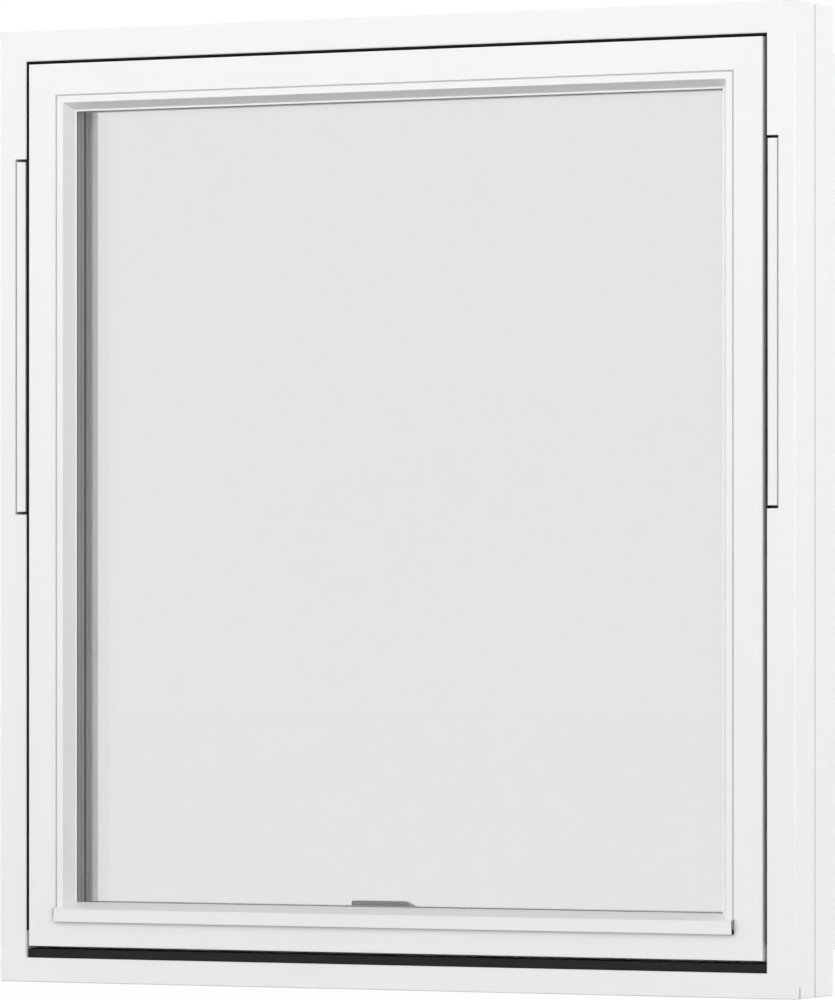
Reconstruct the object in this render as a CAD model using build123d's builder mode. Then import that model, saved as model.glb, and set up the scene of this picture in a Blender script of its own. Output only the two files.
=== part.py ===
from build123d import *
import os

# Fully reversible timber window, painted white, with triple glazing.
# X runs to the right as seen from outside, Y into the room and Z up, in millimetres.
# The origin is the middle of the sill's underside.
os.makedirs("parts", exist_ok=True)

# Outer frame: head and sill run through, the jambs stand between them
frame_width = 1090.0
frame_height = 1187.2
frame_depth = 110.0
jamb_extra_depth = 9.0
member_thickness = 55.0
jamb_face = 37.6
head_face = 37.7
sill_face = 30.2
frame_round = 1.8
back_round = 1.5
frame_arris = 1.2
room_arris = 2.5

# Sealing groove round the outside of the frame, and the drip kerf under the sill
groove_width = 4.0
groove_depth = 3.5
groove_setback = 57.0
kerf_width = 4.0
kerf_depth = 14.0
kerf_setback = 13.0

# Sash and the gaps round it
sash_proud = 1.5
side_gap = 4.9
top_gap = 4.0
bottom_gap = 14.8
stile_face = 37.9
top_rail_face = 39.3
sight_width = 59.3
bottom_sight = 56.0
stile_lip = 56.0
top_lip = 57.2
bottom_lip = 54.9
lip_thickness = 16.8
sash_round = 1.2
rebate_arris = 0.9
sash_arris = 2.5

# Glazing bead section
bead_setback = 1.0
quirk_width = 2.0
quirk_depth = 4.0
quirk_round = 1.5
chamfer_width = 9.0
chamfer_depth = 15.4
nose_width = 2.2
nose_depth = 1.3
bead_round = 0.8

# Sealed unit of three panes
pane_thickness = 4.0
outer_cavity = 18.0
inner_cavity = 14.0
pane_cover = 16.2
outer_tape = 2.8
inner_tape = 2.0
tape_slack = 0.2
tape_recess = 0.8
tape_height = 11.0
spacer_recess = 2.4
spacer_height = 8.0
spacer_groove_width = 2.0
spacer_groove_depth = 1.2

# Drip bar on the bottom rail and the rubber under its lip
bar_reach = 5.8
bar_low = 31.2
bar_front_height = 15.6
bar_drop = 0.6
bar_wall = 1.4
bar_end_gap = 1.4
bar_lap = 1.0
bar_cap = 1.2
bar_round = 1.2
bar_seal_height = 6.2

# Seals in the frame
stop_gap = 4.0
stop_seal_inset = 1.5
stop_seal_width = 6.5
seal_clearance = 0.5
seal_setback = 1.5
seal_slant = 7.3
seal_back = 12.0
seal_foot = 19.5

# Dark strip on the sill under the sash
strip_setback = 5.2
strip_height = 11.3
strip_depth = 25.0
strip_round = 0.8

# Hinge arms in pockets of the jambs, each with a cover strip in front
pocket_drop = 159.4
pocket_length = 444.2
pocket_width = 15.4
pocket_depth = 46.0
cover_depth = 12.0
cover_side_gap = 1.8
cover_end_gap = 3.6
cover_setback = 1.2
cover_round = 0.8
arm_thickness = 6.0
arm_width = 28.0
arm_end_gap = 8.0
arm_stand_off = 2.5
arm_pin_inset = 18.0
arm_pin_radius = 7.0

# Handle on the room side of the bottom rail
rosette_width = 64.0
rosette_height = 30.0
rosette_thickness = 9.0
rosette_corner = 8.0
rosette_round = 2.5
lever_length = 102.0
grip_height = 20.0
grip_thickness = 12.0
grip_stand_off = 22.9
grip_rise = 3.8
grip_round = 2.0
tip_round = 2.5
shoulder_radius = 15.0
shoulder_offset = 31.5
hub_radius = 11.0
neck_radius = 9.0

# Levels that follow from the sizes above
half_width = frame_width / 2
front = -frame_depth / 2
back = frame_depth / 2
jamb_back = back + jamb_extra_depth
groove_y = front + groove_setback
half_opening = half_width - jamb_face
opening_bottom = sill_face
opening_top = frame_height - head_face
half_inner = half_width - member_thickness
inner_bottom = member_thickness
inner_top = frame_height - member_thickness

sash_half = half_opening - side_gap
sash_bottom = opening_bottom + bottom_gap
sash_top = opening_top - top_gap
sash_front = front - sash_proud
bead_depth = bead_setback + chamfer_depth + nose_depth
bead_back = sash_front + bead_depth
glass_front = bead_back + outer_tape
unit_depth = 3 * pane_thickness + outer_cavity + inner_cavity
lip_front = glass_front + unit_depth + tape_slack + inner_tape
sash_back = lip_front + lip_thickness
shoulder = sash_back + stop_gap

sight_half = sash_half - sight_width
sight_bottom = sash_bottom + bottom_sight
sight_top = sash_top - sight_width
sight_opening = (sight_half, sight_bottom, sight_top)
sight_middle = (sight_bottom + sight_top) / 2
lip_half = sash_half - stile_lip
lip_bottom = sash_bottom + bottom_lip
lip_top = sash_top - top_lip
lip_opening = (lip_half, lip_bottom, lip_top)
rebate_half = sash_half - stile_face
rebate_bottom = sash_bottom + stile_face
rebate_top = sash_top - top_rail_face
side_bead_width = rebate_half - sight_half
top_bead_width = rebate_top - sight_top

bar_bottom = sash_bottom + bar_low
bar_front = sash_front - bar_reach
bar_shoulder = bar_bottom + bar_front_height
bar_top = sight_bottom - bar_drop
bar_fall = (bar_top - bar_shoulder) / (bead_back - bar_front)
bar_bend = bar_shoulder + bar_fall * bar_reach

pocket_top = frame_height - pocket_drop
pocket_bottom = pocket_top - pocket_length
pocket_floor = half_opening + pocket_width


def save(builder, label):
    builder.part.label = label
    export_step(builder.part, f"parts/{label}.step")


def edges_at(builder, axis, x=None, y=None, z=None):
    found = builder.edges().filter_by(axis)
    for line, value in ((Axis.X, x), (Axis.Y, y), (Axis.Z, z)):
        if value is not None:
            found = found.filter_by_position(line, value - 0.01, value + 0.01)
    return found


def facing_room(y, z):
    # Upright plane at depth y that looks into the room
    return Plane(origin=(0, y, z), x_dir=(1, 0, 0), z_dir=(0, 1, 0))


def facing_out(y, z):
    # Upright plane at depth y that looks outside
    return Plane(origin=(0, y, z), x_dir=(1, 0, 0), z_dir=(0, -1, 0))


def ease_opening(plane, width, height, size):
    # Takes a small mitred arris off the edges round an opening
    with BuildSketch(plane) as mouth:
        Rectangle(width + 2 * size, height + 2 * size)
    extrude(mouth.sketch, amount=size, taper=45, mode=Mode.SUBTRACT)


def ease_frame_front():
    plane = facing_room(front, (opening_bottom + opening_top) / 2)
    ease_opening(plane, 2 * half_opening, opening_top - opening_bottom, frame_arris)


def ease_sash_front():
    plane = facing_room(sash_front, (rebate_bottom + rebate_top) / 2)
    ease_opening(plane, 2 * rebate_half, rebate_top - rebate_bottom, rebate_arris)


def ease_sash_back():
    plane = facing_out(sash_back, (lip_bottom + lip_top) / 2)
    ease_opening(plane, 2 * lip_half, lip_top - lip_bottom, sash_arris)


def ring(y, depth, opening, outer, inner):
    # Flat rectangular ring round an opening, outer and inner being its margins
    half, bottom, top = opening
    with BuildSketch(facing_room(y, (bottom + top) / 2)) as band:
        Rectangle(2 * (half + outer), top - bottom + 2 * outer)
        Rectangle(2 * (half + inner), top - bottom + 2 * inner, mode=Mode.SUBTRACT)
    extrude(band.sketch, amount=depth)


def bead_corners(width):
    # Bead section as distances from the sight line and depths behind the sash face
    scale = width / side_bead_width
    nose = nose_width * scale
    quirk = width - quirk_width * scale
    crease = bead_setback + chamfer_depth
    return (
        (quirk, bead_setback),
        (nose + chamfer_width * scale, bead_setback),
        (nose, crease),
        (0, crease),
        (0, bead_depth),
        (width, bead_depth),
        (width, quirk_depth),
        (quirk, quirk_depth),
    )


def mitre(side):
    # Upright cut from the corner of the rebate to the corner of the sight line, looking up and inwards
    return Plane(
        origin=(side * sight_half, 0, sight_top),
        z_dir=(-side * top_bead_width, 0, side_bead_width),
    )


# Head and sill of the frame
for name, outer_z, inward, face in (
    ("frame_head", frame_height, -1, head_face),
    ("frame_sill", 0.0, 1, sill_face),
):
    with BuildPart() as member:
        with BuildSketch(Plane.YZ):
            with Locations(((front + back) / 2, outer_z + inward * face / 2)):
                Rectangle(frame_depth, face)
            with Locations(((shoulder + back) / 2, outer_z + inward * member_thickness / 2)):
                Rectangle(back - shoulder, member_thickness)
        extrude(amount=half_width, both=True)
        round_edges = edges_at(member, Axis.X, y=front, z=outer_z)
        for end in (-half_width, half_width):
            round_edges += edges_at(member, Axis.Y, x=end, z=outer_z)
            round_edges += edges_at(member, Axis.Z, x=end, y=front)
        fillet(round_edges, radius=frame_round)
        room_edge = outer_z + inward * member_thickness
        back_edges = member.faces().sort_by(Axis.Y)[-1].edges()
        back_edges = back_edges - edges_at(member, Axis.X, z=room_edge)
        fillet(back_edges, radius=back_round)
        ease_frame_front()
        with BuildSketch(Plane.YZ):
            with BuildLine():
                Polyline(
                    (back, room_edge),
                    (back, room_edge - inward * room_arris),
                    (back - room_arris, room_edge),
                    close=True,
                )
            make_face()
        extrude(amount=half_inner, both=True, mode=Mode.SUBTRACT)
        with Locations((0, groove_y, outer_z)):
            Box(frame_width, groove_width, 2 * groove_depth, mode=Mode.SUBTRACT)
        for end in (-half_width, half_width):
            with Locations((end, groove_y, outer_z)):
                Box(2 * groove_depth, groove_width, 2 * member_thickness, mode=Mode.SUBTRACT)
        if name == "frame_sill":
            with Locations((0, front + kerf_setback, 0)):
                Box(frame_width, kerf_width, 2 * kerf_depth, mode=Mode.SUBTRACT)
    save(member, name)

# Jambs, sash stiles and what belongs to each side
for side, hand in ((-1, "left"), (1, "right")):
    with BuildPart() as jamb:
        with BuildSketch(Plane.XY.offset(opening_bottom)):
            with Locations((side * (half_width - jamb_face / 2), (front + shoulder) / 2)):
                Rectangle(jamb_face, shoulder - front)
        extrude(amount=opening_top - opening_bottom)
        with BuildSketch(Plane.XY.offset(inner_bottom)):
            with Locations((side * (half_width - member_thickness / 2), (shoulder + jamb_back) / 2)):
                Rectangle(member_thickness, jamb_back - shoulder)
        extrude(amount=inner_top - inner_bottom)
        fillet(edges_at(jamb, Axis.Z, x=side * half_width, y=front), radius=frame_round)
        back_edges = edges_at(jamb, Axis.Z, y=jamb_back)
        back_edges += edges_at(jamb, Axis.X, y=jamb_back)
        fillet(back_edges, radius=back_round)
        ease_frame_front()
        with Locations((side * half_width, groove_y, frame_height / 2)):
            Box(2 * groove_depth, groove_width, frame_height, mode=Mode.SUBTRACT)
        with Locations((side * half_opening, front, (pocket_bottom + pocket_top) / 2)):
            Box(2 * pocket_width, 2 * pocket_depth, pocket_length, mode=Mode.SUBTRACT)
    save(jamb, f"frame_{hand}_jamb")

    with BuildPart() as stile:
        with BuildSketch(Plane.XY.offset(sash_bottom)):
            with Locations((side * (sash_half - stile_face / 2), (sash_front + sash_back) / 2)):
                Rectangle(stile_face, sash_back - sash_front)
            with Locations((side * (sash_half - stile_lip / 2), (lip_front + sash_back) / 2)):
                Rectangle(stile_lip, lip_thickness)
        extrude(amount=sash_top - sash_bottom)
        round_edges = edges_at(stile, Axis.Z, x=side * sash_half)
        round_edges += edges_at(stile, Axis.X, y=sash_front)
        fillet(round_edges, radius=sash_round)
        ease_sash_front()
        ease_sash_back()
    save(stile, f"sash_{hand}_stile")

    with BuildPart() as bead:
        with BuildSketch(Plane.XY.offset(rebate_bottom)) as section:
            corners = []
            for across, deep in bead_corners(side_bead_width):
                corners.append((side * (sight_half + across), sash_front + deep))
            with BuildLine():
                Polyline(corners, close=True)
            make_face()
            near, far = section.vertices().group_by(Axis.Y)[0].sort_by(lambda corner: abs(corner.X))
            fillet(near, radius=bead_round)
            fillet(far, radius=quirk_round)
        extrude(amount=rebate_top - rebate_bottom)
        split(bisect_by=mitre(side), keep=Keep.BOTTOM)
        slope = Plane(
            origin=(0, bead_back, bar_top),
            z_dir=(0, bar_shoulder - bar_top, bead_back - bar_front),
        )
        split(bisect_by=slope)
    save(bead, f"{hand}_bead")

    with BuildPart() as seal:
        with BuildSketch(Plane.XY.offset(sash_bottom + seal_foot)):
            with BuildLine():
                Polyline(
                    (side * half_opening, front + seal_setback),
                    (side * (sash_half + seal_clearance), front + seal_setback + seal_slant),
                    (side * (sash_half + seal_clearance), front + seal_back),
                    (side * half_opening, front + seal_back),
                    close=True,
                )
            make_face()
        extrude(amount=opening_top - sash_bottom - seal_foot)
    save(seal, f"weather_seal_{hand}")

    with BuildPart() as cover:
        with BuildSketch(Plane.XY.offset(pocket_bottom + cover_end_gap)):
            cover_width = pocket_width - cover_side_gap - cover_setback
            cover_x = half_opening + cover_setback + cover_width / 2
            with Locations((side * cover_x, front + cover_depth / 2)):
                Rectangle(cover_width, cover_depth)
        extrude(amount=pocket_length - 2 * cover_end_gap)
        fillet(cover.faces().sort_by(Axis.Y)[0].edges(), radius=cover_round)
    save(cover, f"{hand}_arm_cover")

    with BuildPart() as arm:
        arm_y = front + cover_depth + arm_width / 2
        arm_x = pocket_floor - arm_stand_off - arm_thickness / 2
        arm_bottom = pocket_bottom + arm_end_gap
        arm_top = pocket_top - arm_end_gap
        with BuildSketch(Plane.YZ.offset(side * arm_x)):
            with Locations((arm_y, (arm_bottom + arm_top) / 2)):
                RectangleRounded(arm_width, arm_top - arm_bottom, arm_width / 4)
        extrude(amount=arm_thickness / 2, both=True)
        with BuildSketch(Plane.YZ.offset(side * arm_x)):
            with Locations((arm_y, arm_bottom + arm_pin_inset)):
                Circle(arm_pin_radius)
        extrude(amount=side * (pocket_floor - arm_x))
        with BuildSketch(Plane.YZ.offset(side * arm_x)):
            with Locations((arm_y, arm_top - arm_pin_inset)):
                Circle(arm_pin_radius)
        extrude(amount=-side * (arm_x - sash_half))
    save(arm, f"{hand}_hinge_arm")

# Rails of the sash
for name, outer_z, rebate_z, lip_z in (
    ("sash_top_rail", sash_top, rebate_top, lip_top),
    ("sash_bottom_rail", sash_bottom, rebate_bottom, lip_bottom),
):
    with BuildPart() as rail:
        with BuildSketch(Plane.YZ):
            with Locations(((sash_front + lip_front) / 2, (outer_z + rebate_z) / 2)):
                Rectangle(lip_front - sash_front, abs(rebate_z - outer_z))
        extrude(amount=rebate_half, both=True)
        fillet(edges_at(rail, Axis.X, y=sash_front, z=outer_z), radius=sash_round)
        with BuildSketch(Plane.YZ):
            with Locations(((lip_front + sash_back) / 2, (outer_z + lip_z) / 2)):
                Rectangle(lip_thickness, abs(lip_z - outer_z))
        extrude(amount=lip_half, both=True)
        ease_sash_front()
        ease_sash_back()
    save(rail, name)

# Top glazing bead, mitred to the side beads
with BuildPart() as top_bead:
    with BuildSketch(Plane.YZ) as section:
        corners = []
        for across, deep in bead_corners(top_bead_width):
            corners.append((sash_front + deep, sight_top + across))
        with BuildLine():
            Polyline(corners, close=True)
        make_face()
        near, far = section.vertices().group_by(Axis.X)[0].sort_by(Axis.Y)
        fillet(near, radius=bead_round)
        fillet(far, radius=quirk_round)
    extrude(amount=rebate_half, both=True)
    for side in (-1, 1):
        split(bisect_by=mitre(side))
save(top_bead, "top_bead")

# Drip bar across the bottom of the glass, with a drip lip in front of the rail and capped ends
bar_half = rebate_half + bar_lap
with BuildPart() as drip_bar:
    with BuildSketch(Plane.YZ):
        with BuildLine():
            Polyline(
                (bead_back, rebate_bottom),
                (sash_front, rebate_bottom),
                (sash_front, bar_bend),
                (bead_back, bar_top),
                close=True,
            )
        make_face()
    extrude(amount=rebate_half - bar_end_gap, both=True)
    with BuildSketch(Plane.YZ):
        with BuildLine():
            Polyline(
                (sash_front, bar_bend),
                (sash_front, bar_bottom + bar_seal_height),
                (bar_front + bar_wall, bar_bottom + bar_seal_height),
                (bar_front + bar_wall, bar_bottom),
                (bar_front, bar_bottom),
                (bar_front, bar_shoulder),
                close=True,
            )
        make_face()
    extrude(amount=bar_half - bar_cap, both=True)
    fillet(edges_at(drip_bar, Axis.X, y=bar_front, z=bar_shoulder), radius=bar_round)
save(drip_bar, "drip_bar")

for side, hand in ((-1, "left"), (1, "right")):
    with BuildPart() as cap:
        with BuildSketch(Plane.YZ.offset(side * (bar_half - bar_cap))) as section:
            with BuildLine():
                Polyline(
                    (sash_front, bar_bend),
                    (sash_front, bar_bottom + bar_seal_height),
                    (bar_front, bar_bottom + bar_seal_height),
                    (bar_front, bar_shoulder),
                    close=True,
                )
            make_face()
            fillet(section.vertices().group_by(Axis.X)[0].sort_by(Axis.Y)[-1], radius=bar_round)
        extrude(amount=side * bar_cap)
    save(cap, f"{hand}_bar_cap")

with BuildPart() as bar_seal:
    with BuildSketch(Plane.YZ):
        with Locations(((bar_front + bar_wall + sash_front) / 2, bar_bottom + bar_seal_height / 2)):
            Rectangle(bar_reach - bar_wall, bar_seal_height)
    extrude(amount=bar_half, both=True)
save(bar_seal, "drip_bar_seal")

# Sealed unit: three panes held apart by two spacers
pane_y = glass_front
for name, cavity in (("outer_pane", outer_cavity), ("middle_pane", inner_cavity), ("inner_pane", 0.0)):
    with BuildPart() as pane:
        with BuildSketch(facing_room(pane_y, sight_middle)):
            Rectangle(2 * (sight_half + pane_cover), sight_top - sight_bottom + 2 * pane_cover)
        extrude(amount=pane_thickness)
    save(pane, name)
    pane_y += pane_thickness + cavity

spacer_y = glass_front + pane_thickness
for name, cavity in (("outer_spacer", outer_cavity), ("inner_spacer", inner_cavity)):
    with BuildPart() as spacer:
        ring(spacer_y, cavity, sight_opening, spacer_recess + spacer_height, spacer_recess)
        with BuildSketch(facing_room(spacer_y + cavity / 2, sight_middle)):
            groove = spacer_recess + spacer_groove_depth
            Rectangle(2 * (sight_half + groove), sight_top - sight_bottom + 2 * groove)
        extrude(amount=spacer_groove_width / 2, both=True, mode=Mode.SUBTRACT)
    save(spacer, name)
    spacer_y += cavity + pane_thickness

# Glazing tapes between the unit and the timber
for name, tape_y, tape_depth, opening in (
    ("outer_glazing_tape", bead_back, outer_tape, sight_opening),
    ("inner_glazing_tape", lip_front - inner_tape, inner_tape, lip_opening),
):
    with BuildPart() as tape:
        ring(tape_y, tape_depth, opening, tape_recess + tape_height, tape_recess)
    save(tape, name)

# Weather seal under the head, between the side seals
with BuildPart() as head_seal:
    with BuildSketch(Plane.YZ):
        with BuildLine():
            Polyline(
                (front + seal_setback, opening_top),
                (front + seal_setback + seal_slant, sash_top + seal_clearance),
                (front + seal_back, sash_top + seal_clearance),
                (front + seal_back, opening_top),
                close=True,
            )
        make_face()
    extrude(amount=sash_half + seal_clearance, both=True)
save(head_seal, "weather_seal_head")

# Stop seal between the sash and the shoulder of the frame
with BuildPart() as stop_seal:
    with BuildSketch(facing_room(sash_back, (sash_bottom + sash_top) / 2)):
        inset = stop_seal_inset
        Rectangle(2 * (sash_half - inset), sash_top - sash_bottom - 2 * inset)
        inset = stop_seal_inset + stop_seal_width
        Rectangle(2 * (sash_half - inset), sash_top - sash_bottom - 2 * inset, mode=Mode.SUBTRACT)
    extrude(amount=stop_gap)
save(stop_seal, "stop_seal")

# Dark strip on the sill under the sash
with BuildPart() as sill_strip:
    with BuildSketch(Plane.YZ):
        with Locations((front + strip_setback + strip_depth / 2, opening_bottom + strip_height / 2)):
            Rectangle(strip_depth, strip_height)
    extrude(amount=half_opening, both=True)
    strip_top = opening_bottom + strip_height
    fillet(edges_at(sill_strip, Axis.X, y=front + strip_setback, z=strip_top), radius=strip_round)
save(sill_strip, "sill_strip")

# Handle: rosette on the rail and a lever that rises to the left
handle_z = (inner_bottom + sight_bottom) / 2
with BuildPart() as rosette:
    with BuildSketch(facing_room(sash_back, handle_z)):
        RectangleRounded(rosette_width, rosette_height, rosette_corner)
    extrude(amount=rosette_thickness)
    fillet(rosette.faces().sort_by(Axis.Y)[-1].edges(), radius=rosette_round)
save(rosette, "handle_rosette")

with BuildPart() as lever:
    grip_back = sash_back + grip_stand_off
    grip_top = sight_bottom + grip_rise
    with BuildSketch(facing_out(grip_back, 0)) as outline:
        with Locations((0, handle_z)):
            Circle(hub_radius)
        with Locations((-shoulder_offset, grip_top - shoulder_radius)):
            Circle(shoulder_radius)
        make_hull(outline.edges())
        with Locations((-(lever_length + shoulder_offset) / 2, grip_top - grip_height / 2)):
            Rectangle(lever_length - shoulder_offset, grip_height)
        fillet(outline.vertices().sort_by(Axis.X)[:2], radius=tip_round)
    extrude(amount=-grip_thickness)
    fillet(lever.faces().filter_by(Axis.Y).edges(), radius=grip_round)
    with BuildSketch(facing_room(sash_back + rosette_thickness, handle_z)):
        Circle(neck_radius)
    extrude(amount=grip_stand_off - rosette_thickness + grip_thickness / 2)
save(lever, "handle_lever")
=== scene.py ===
import math

import bpy
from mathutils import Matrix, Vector

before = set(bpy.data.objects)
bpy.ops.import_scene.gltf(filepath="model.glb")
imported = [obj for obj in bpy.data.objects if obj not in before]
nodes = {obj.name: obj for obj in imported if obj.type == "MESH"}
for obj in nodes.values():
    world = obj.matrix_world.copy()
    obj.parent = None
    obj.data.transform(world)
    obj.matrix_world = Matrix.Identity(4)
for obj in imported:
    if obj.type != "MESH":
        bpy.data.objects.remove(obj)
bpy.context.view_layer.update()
print("frame loaded:", len(nodes), "nodes")


def newMaterial(name):
    mat = bpy.data.materials.new(name)
    mat.use_nodes = True
    tree = mat.node_tree
    shader = tree.nodes["Principled BSDF"]
    return mat, tree, shader


def addNode(tree, kind, **sockets):
    node = tree.nodes.new(kind)
    for name, value in sockets.items():
        node.inputs[name].default_value = value
    return node


def addMath(tree, operation, first, second):
    node = tree.nodes.new("ShaderNodeMath")
    node.operation = operation
    for socket, value in zip(node.inputs, (first, second)):
        if isinstance(value, float):
            socket.default_value = value
        else:
            tree.links.new(value, socket)
    return node.outputs[0]


def addNoise(tree, coords, **sockets):
    noise = addNode(tree, "ShaderNodeTexNoise", **sockets)
    tree.links.new(coords, noise.inputs["Vector"])
    return noise.outputs["Fac"]


def mixTones(tree, shader, fac, low, high):  # base colour drifts between two near tones
    tint = addNode(tree, "ShaderNodeMix")
    tint.data_type = "RGBA"
    tint.inputs[6].default_value = (*low, 1)
    tint.inputs[7].default_value = (*high, 1)
    tree.links.new(fac, tint.inputs[0])
    tree.links.new(tint.outputs[2], shader.inputs["Base Color"])


def varyRoughness(tree, shader, fac, limits):
    rough = addNode(tree, "ShaderNodeMapRange")
    rough.inputs["To Min"].default_value, rough.inputs["To Max"].default_value = limits
    tree.links.new(fac, rough.inputs["Value"])
    tree.links.new(rough.outputs["Result"], shader.inputs["Roughness"])


def addBump(tree, shader, fac, strength, distance):
    bump = addNode(tree, "ShaderNodeBump", Strength=strength, Distance=distance)
    tree.links.new(fac, bump.inputs["Height"])
    tree.links.new(bump.outputs["Normal"], shader.inputs["Normal"])


def dress(mat, *names):
    for name in names:
        ob = nodes[name]
        ob.data.materials.clear()
        ob.data.materials.append(mat)


# white paint on planed timber: the grain runs along the member
paint = {
    "colour": (0.876, 0.876, 0.875),
    "dull": (0.852, 0.852, 0.85),
    "cloud": 9.0,
    "roughness": (0.34, 0.44),
    "grainAcross": 190.0,
    "grainAlong": 6.0,
    "bump": 0.05,
    "bumpDepth": 0.0004,
    "upright": (
        "frame_left_jamb",
        "frame_right_jamb",
        "sash_left_stile",
        "sash_right_stile",
        "left_bead",
        "right_bead",
    ),
    "level": ("frame_head", "frame_sill", "sash_top_rail", "sash_bottom_rail", "top_bead"),
}


def paintMaterial(name, along):
    mat, tree, shader = newMaterial(name)
    coords = addNode(tree, "ShaderNodeTexCoord")
    turn = addNode(tree, "ShaderNodeMapping")
    scales = [paint["grainAlong"] if axis == along else paint["grainAcross"] for axis in "XYZ"]
    turn.inputs["Scale"].default_value = scales
    tree.links.new(coords.outputs["Object"], turn.inputs["Vector"])
    grain = addNoise(tree, turn.outputs["Vector"], Scale=1.0, Detail=4.0, Roughness=0.6)
    cloud = addNoise(tree, coords.outputs["Object"], Scale=paint["cloud"], Detail=3.0)
    mixTones(tree, shader, cloud, paint["dull"], paint["colour"])
    varyRoughness(tree, shader, grain, paint["roughness"])
    addBump(tree, shader, grain, paint["bump"], paint["bumpDepth"])
    return mat


dress(paintMaterial("paintUpright", "Z"), *paint["upright"])
dress(paintMaterial("paintLevel", "X"), *paint["level"])
print("timber painted")

# fine grained coats: powder coat, tapes and metals, each with its colour, roughness and gloss
coat = {"peel": 700.0, "low": 0.95, "high": 1.03, "bump": 0.04, "bumpDepth": 0.0003}
coats = {
    "whiteCoat": {
        "colour": (0.862, 0.862, 0.861),
        "roughness": 0.36,
        "gloss": 0.5,
        "on": ("drip_bar", "left_arm_cover", "right_arm_cover"),
    },
    "darkCoat": {"colour": (0.012, 0.012, 0.012), "roughness": 0.5, "gloss": 0.2, "on": ("sill_strip",)},
    "paleTape": {
        "colour": (0.86, 0.86, 0.85),
        "roughness": 0.8,
        "gloss": 0.2,
        "on": ("inner_glazing_tape",),
    },
    "greyTape": {
        "colour": (0.22, 0.22, 0.22),
        "roughness": 0.8,
        "gloss": 0.2,
        "on": ("outer_glazing_tape",),
    },
    # dark grey end caps, their grey partly painted shade on the drip bar's ends
    "capGreyShade": {
        "colour": (0.2, 0.2, 0.2),
        "roughness": 0.6,
        "gloss": 0.5,
        "on": ("left_bar_cap", "right_bar_cap"),
    },
    "zincSteel": {
        "colour": (0.45, 0.45, 0.46),
        "roughness": 0.4,
        "gloss": 0.5,
        "on": ("left_hinge_arm", "right_hinge_arm"),
    },
    "satinMetal": {
        "colour": (0.185, 0.185, 0.185),
        "roughness": 0.4,
        "gloss": 0.5,
        "on": ("handle_rosette", "handle_lever"),
    },
}
for name, finish in coats.items():
    mat, tree, shader = newMaterial(name)
    coords = addNode(tree, "ShaderNodeTexCoord")
    peel = addNoise(tree, coords.outputs["Object"], Scale=coat["peel"], Detail=2.0)
    low = [c * coat["low"] for c in finish["colour"]]
    high = [c * coat["high"] for c in finish["colour"]]
    mixTones(tree, shader, peel, low, high)
    shader.inputs["Roughness"].default_value = finish["roughness"]
    shader.inputs["Specular IOR Level"].default_value = finish["gloss"]
    addBump(tree, shader, peel, coat["bump"], coat["bumpDepth"])
    dress(mat, *finish["on"])

rubber = {
    "low": (0.008, 0.008, 0.008),
    "high": (0.016, 0.016, 0.016),
    "speck": 900.0,
    "roughness": 0.7,
    "gloss": 0.2,
    "on": ("drip_bar_seal", "weather_seal_head", "weather_seal_left", "weather_seal_right", "stop_seal"),
}
mat, tree, shader = newMaterial("blackRubber")
coords = addNode(tree, "ShaderNodeTexCoord")
speck = addNoise(tree, coords.outputs["Object"], Scale=rubber["speck"], Detail=3.0)
mixTones(tree, shader, speck, rubber["low"], rubber["high"])
shader.inputs["Roughness"].default_value = rubber["roughness"]
shader.inputs["Specular IOR Level"].default_value = rubber["gloss"]
dress(mat, *rubber["on"])

# spacer bars: dark butyl where they meet the panes and a seam along the middle; the outer seam is
# darkened with painted shade, the inner seam is lightened with painted light against the shade in its
# groove, and the outer bar's front half is painted lighter than its back against the shade of the bead
# and tape
spacer = {
    "outer_spacer": {
        # front half painted lighter than the back, painted light against the shade of the bead and tape
        "front": (0.55, 0.566, 0.542),
        # painted shade darkening the seam's groove
        "line": (0.15, 0.154, 0.148),
        "back": (0.44, 0.453, 0.434),
        "butyl": (0.08, 0.16),
    },
    "inner_spacer": {
        "front": (0.5, 0.514, 0.494),
        # painted light: the seam lighter than the bar to lift the shade in its groove
        "line": (0.66, 0.678, 0.651),
        "back": (0.5, 0.514, 0.494),
        "butyl": (0.12, 0.03),
    },
    "dark": (0.1, 0.103, 0.098),
    "seam": (0.45, 0.56),
    "grit": 1500.0,
    "roughness": (0.5, 0.65),
}


def spacerMaterial(name):
    mat, tree, shader = newMaterial(name + "_bar")
    depths = [corner[1] for corner in nodes[name].bound_box]
    coords = addNode(tree, "ShaderNodeTexCoord")
    axes = addNode(tree, "ShaderNodeSeparateXYZ")
    tree.links.new(coords.outputs["Object"], axes.inputs["Vector"])
    across = addNode(tree, "ShaderNodeMapRange")
    across.inputs["From Min"].default_value = min(depths)
    across.inputs["From Max"].default_value = max(depths)
    tree.links.new(axes.outputs["Y"], across.inputs["Value"])
    stripes = addNode(tree, "ShaderNodeValToRGB")
    ramp = stripes.color_ramp
    ramp.interpolation = "CONSTANT"
    own = spacer[name]
    places = [0, own["butyl"][0], *spacer["seam"], 1 - own["butyl"][1]]
    tones = [spacer["dark"], own["front"], own["line"], own["back"], spacer["dark"]]
    while len(ramp.elements) < len(places):
        ramp.elements.new(1)
    for stop, place, tone in zip(ramp.elements, places, tones):
        stop.position = place
        stop.color = (*tone, 1)
    tree.links.new(across.outputs["Result"], stripes.inputs["Fac"])
    tree.links.new(stripes.outputs["Color"], shader.inputs["Base Color"])
    grit = addNoise(tree, coords.outputs["Object"], Scale=spacer["grit"], Detail=2.0)
    varyRoughness(tree, shader, grit, spacer["roughness"])
    return mat


for name in ("outer_spacer", "inner_spacer"):
    dress(spacerMaterial(name), name)

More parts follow.
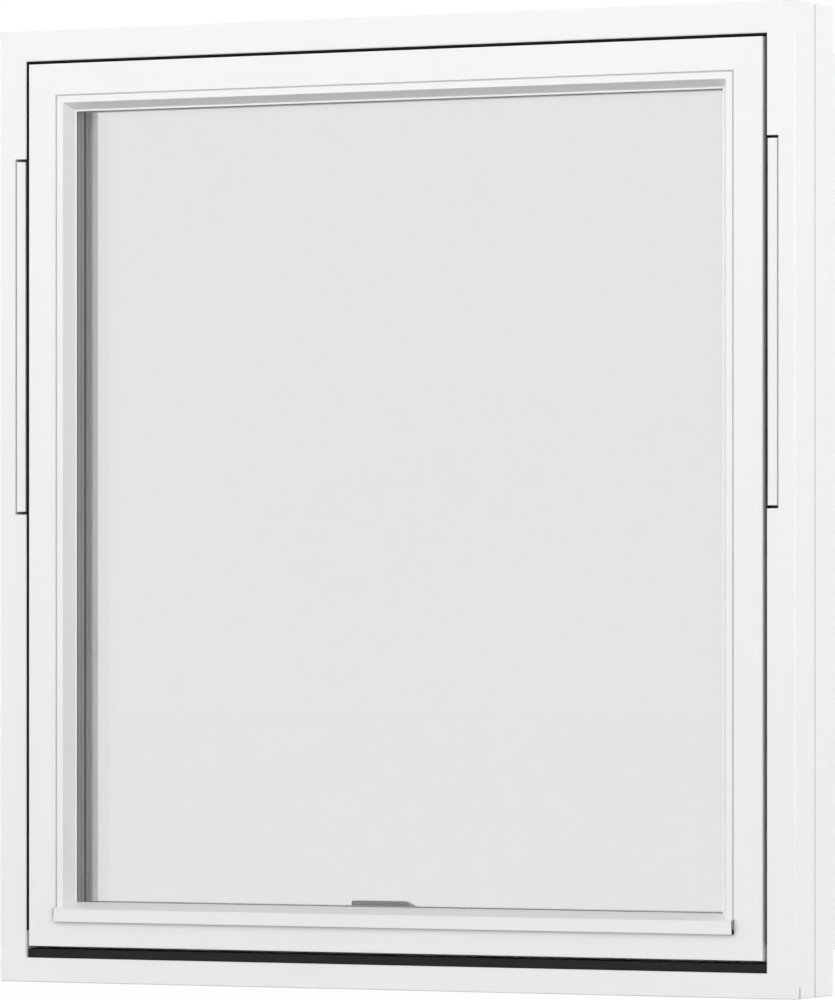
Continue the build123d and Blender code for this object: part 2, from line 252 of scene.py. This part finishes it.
glass = {
    "low": (0.915, 0.915, 0.915),
    "high": (0.919, 0.919, 0.919),
    "ripple": 2.5,
    "ior": 1.5,
    "on": ("outer_pane", "middle_pane", "inner_pane"),
}
mat, tree, shader = newMaterial("clearGlass")
coords = addNode(tree, "ShaderNodeTexCoord")
ripple = addNoise(tree, coords.outputs["Object"], Scale=glass["ripple"], Detail=1.0)
mixTones(tree, shader, ripple, glass["low"], glass["high"])
shader.inputs["Roughness"].default_value = 0.0
shader.inputs["IOR"].default_value = glass["ior"]
shader.inputs["Transmission Weight"].default_value = 1.0
dress(mat, *glass["on"])
print("materials set")

# camera at the photograph's place
view = {
    "lens": 276.2,
    "sensor": 36,
    "place": (4.2797, -8.3739, 0.4299),
    "turn": 26.9974,
    "shiftUp": 0.13765,
    "far": 200,
}
camData = bpy.data.cameras.new("camera")
camData.lens = view["lens"]
camData.sensor_width = view["sensor"]
camData.shift_y = view["shiftUp"]
camData.clip_end = view["far"]
cam = bpy.data.objects.new("camera", camData)
cam.location = view["place"]
cam.rotation_euler = (math.radians(90), 0, math.radians(view["turn"]))
bpy.context.scene.collection.objects.link(cam)
bpy.context.scene.camera = cam

# pale studio: light falls from the horizon, and what is seen of world and floor is white
studio = {
    "horizon": 2.29,
    "corner": 0.16,
    "zenith": 0.01,
    "floorSize": 60,
    "floor": 0.6,
    "floorGlow": 0.8,
    "glowLevel": 1.13,
}


def seenDirectly(tree):
    path = tree.nodes.new("ShaderNodeLightPath").outputs
    first = addMath(tree, "MAXIMUM", path["Is Camera Ray"], path["Is Glossy Ray"])
    return addMath(tree, "MAXIMUM", first, path["Is Transmission Ray"])


world = bpy.data.worlds.new("studio")
bpy.context.scene.world = world
world.use_nodes = True
tree = world.node_tree
sky = tree.nodes["Background"]
sky.inputs["Color"].default_value = (1, 1, 1, 1)
aim = tree.nodes.new("ShaderNodeTexCoord")
axes = tree.nodes.new("ShaderNodeSeparateXYZ")
tree.links.new(aim.outputs["Generated"], axes.inputs["Vector"])
corner = addMath(tree, "MULTIPLY", axes.outputs["X"], axes.outputs["Y"])
around = addNode(tree, "ShaderNodeMapRange")  # dimmer from the front right than from the front left
around.inputs["From Min"].default_value = -0.5
around.inputs["From Max"].default_value = 0.5
around.inputs["To Min"].default_value = studio["horizon"] * (1 - studio["corner"])
around.inputs["To Max"].default_value = studio["horizon"] * (1 + studio["corner"])
tree.links.new(corner, around.inputs["Value"])
climb = addNode(tree, "ShaderNodeMapRange")
climb.inputs["To Max"].default_value = studio["zenith"]
tree.links.new(around.outputs["Result"], climb.inputs["To Min"])
tree.links.new(axes.outputs["Z"], climb.inputs["Value"])
level = addNode(tree, "ShaderNodeMapRange")
level.inputs["To Max"].default_value = 1.0
tree.links.new(climb.outputs["Result"], level.inputs["To Min"])
tree.links.new(seenDirectly(tree), level.inputs["Value"])
tree.links.new(level.outputs["Result"], sky.inputs["Strength"])

bpy.ops.object.select_all(action="DESELECT")
bpy.ops.mesh.primitive_plane_add(size=studio["floorSize"], location=(0, 0, 0))
floor = bpy.context.object
floor.name = "floor"
floorMat, tree, shader = newMaterial("floorMat")
shader.inputs["Base Color"].default_value = (studio["floor"],) * 3 + (1,)
shader.inputs["Roughness"].default_value = 0.9
shader.inputs["Specular IOR Level"].default_value = 0.0
glow = addNode(tree, "ShaderNodeEmission", Strength=studio["glowLevel"])
blend = tree.nodes.new("ShaderNodeMixShader")
part = addNode(tree, "ShaderNodeMapRange")
part.inputs["To Max"].default_value = studio["floorGlow"]
tree.links.new(seenDirectly(tree), part.inputs["Value"])
tree.links.new(part.outputs["Result"], blend.inputs[0])
tree.links.new(shader.outputs[0], blend.inputs[1])
tree.links.new(glow.outputs[0], blend.inputs[2])
tree.links.new(blend.outputs[0], tree.nodes["Material Output"].inputs["Surface"])
floor.data.materials.append(floorMat)

# two soft strips on the timber, one that draws the light line on the corner, and a fill behind the panes
lamps = {
    "frontStrip": {
        "size": (3.0, 0.4),
        "power": 5.1,
        "place": (0, -1.6, 1.7),
        "aim": (0, 0, 1.1),
        "rays": "diffuse",
    },
    "sideStrip": {
        "size": (1.6, 0.4),
        "power": 3.2,
        "place": (2.1, 0, 1.7),
        "aim": (0.5, 0, 1.1),
        "rays": "diffuse",
    },
    "edgeStrip": {
        "size": (0.5, 1.6),
        "power": 70,
        "place": (1.87, -2.18, 0.7),
        "aim": (0.55, 0, 0.6),
        "rays": "glossy",
        "only": "frame_right_jamb",
    },
    "glassFill": {
        "size": (5, 3),
        "power": 275,
        "place": (0.8, -3.2, 1),
        "aim": (0, 0, 0.65),
        "rays": "transmission",
    },
}


def fillBehindGlass(light):  # counts on what stands behind the panes, and isn't itself seen through them
    light.use_nodes = True
    tree = light.node_tree
    path = tree.nodes.new("ShaderNodeLightPath").outputs
    landed = addMath(tree, "GREATER_THAN", path["Diffuse Depth"], 0.5)
    straight = addMath(tree, "LESS_THAN", path["Glossy Depth"], 0.5)
    both = addMath(tree, "MULTIPLY", landed, straight)
    tree.links.new(both, tree.nodes["Emission"].inputs["Strength"])


for name, lamp in lamps.items():
    light = bpy.data.lights.new(name, "AREA")
    light.shape = "RECTANGLE"
    light.size, light.size_y = lamp["size"]
    light.energy = lamp["power"]
    ob = bpy.data.objects.new(name, light)
    ob.location = lamp["place"]
    ob.rotation_euler = (Vector(lamp["place"]) - Vector(lamp["aim"])).to_track_quat("Z", "Y").to_euler()
    ob.visible_camera = False
    ob.visible_diffuse = lamp["rays"] == "diffuse"
    ob.visible_glossy = lamp["rays"] == "glossy"
    ob.visible_transmission = lamp["rays"] == "transmission"
    if lamp["rays"] == "transmission":
        fillBehindGlass(light)
    if "only" in lamp:  # no other piece catches it, so the panes don't mirror it
        lit = bpy.data.collections.new(name + "Lit")
        lit.objects.link(nodes[lamp["only"]])
        ob.light_linking.receiver_collection = lit
    bpy.context.scene.collection.objects.link(ob)
bpy.context.scene.view_settings.view_transform = "Standard"
print("studio ready")
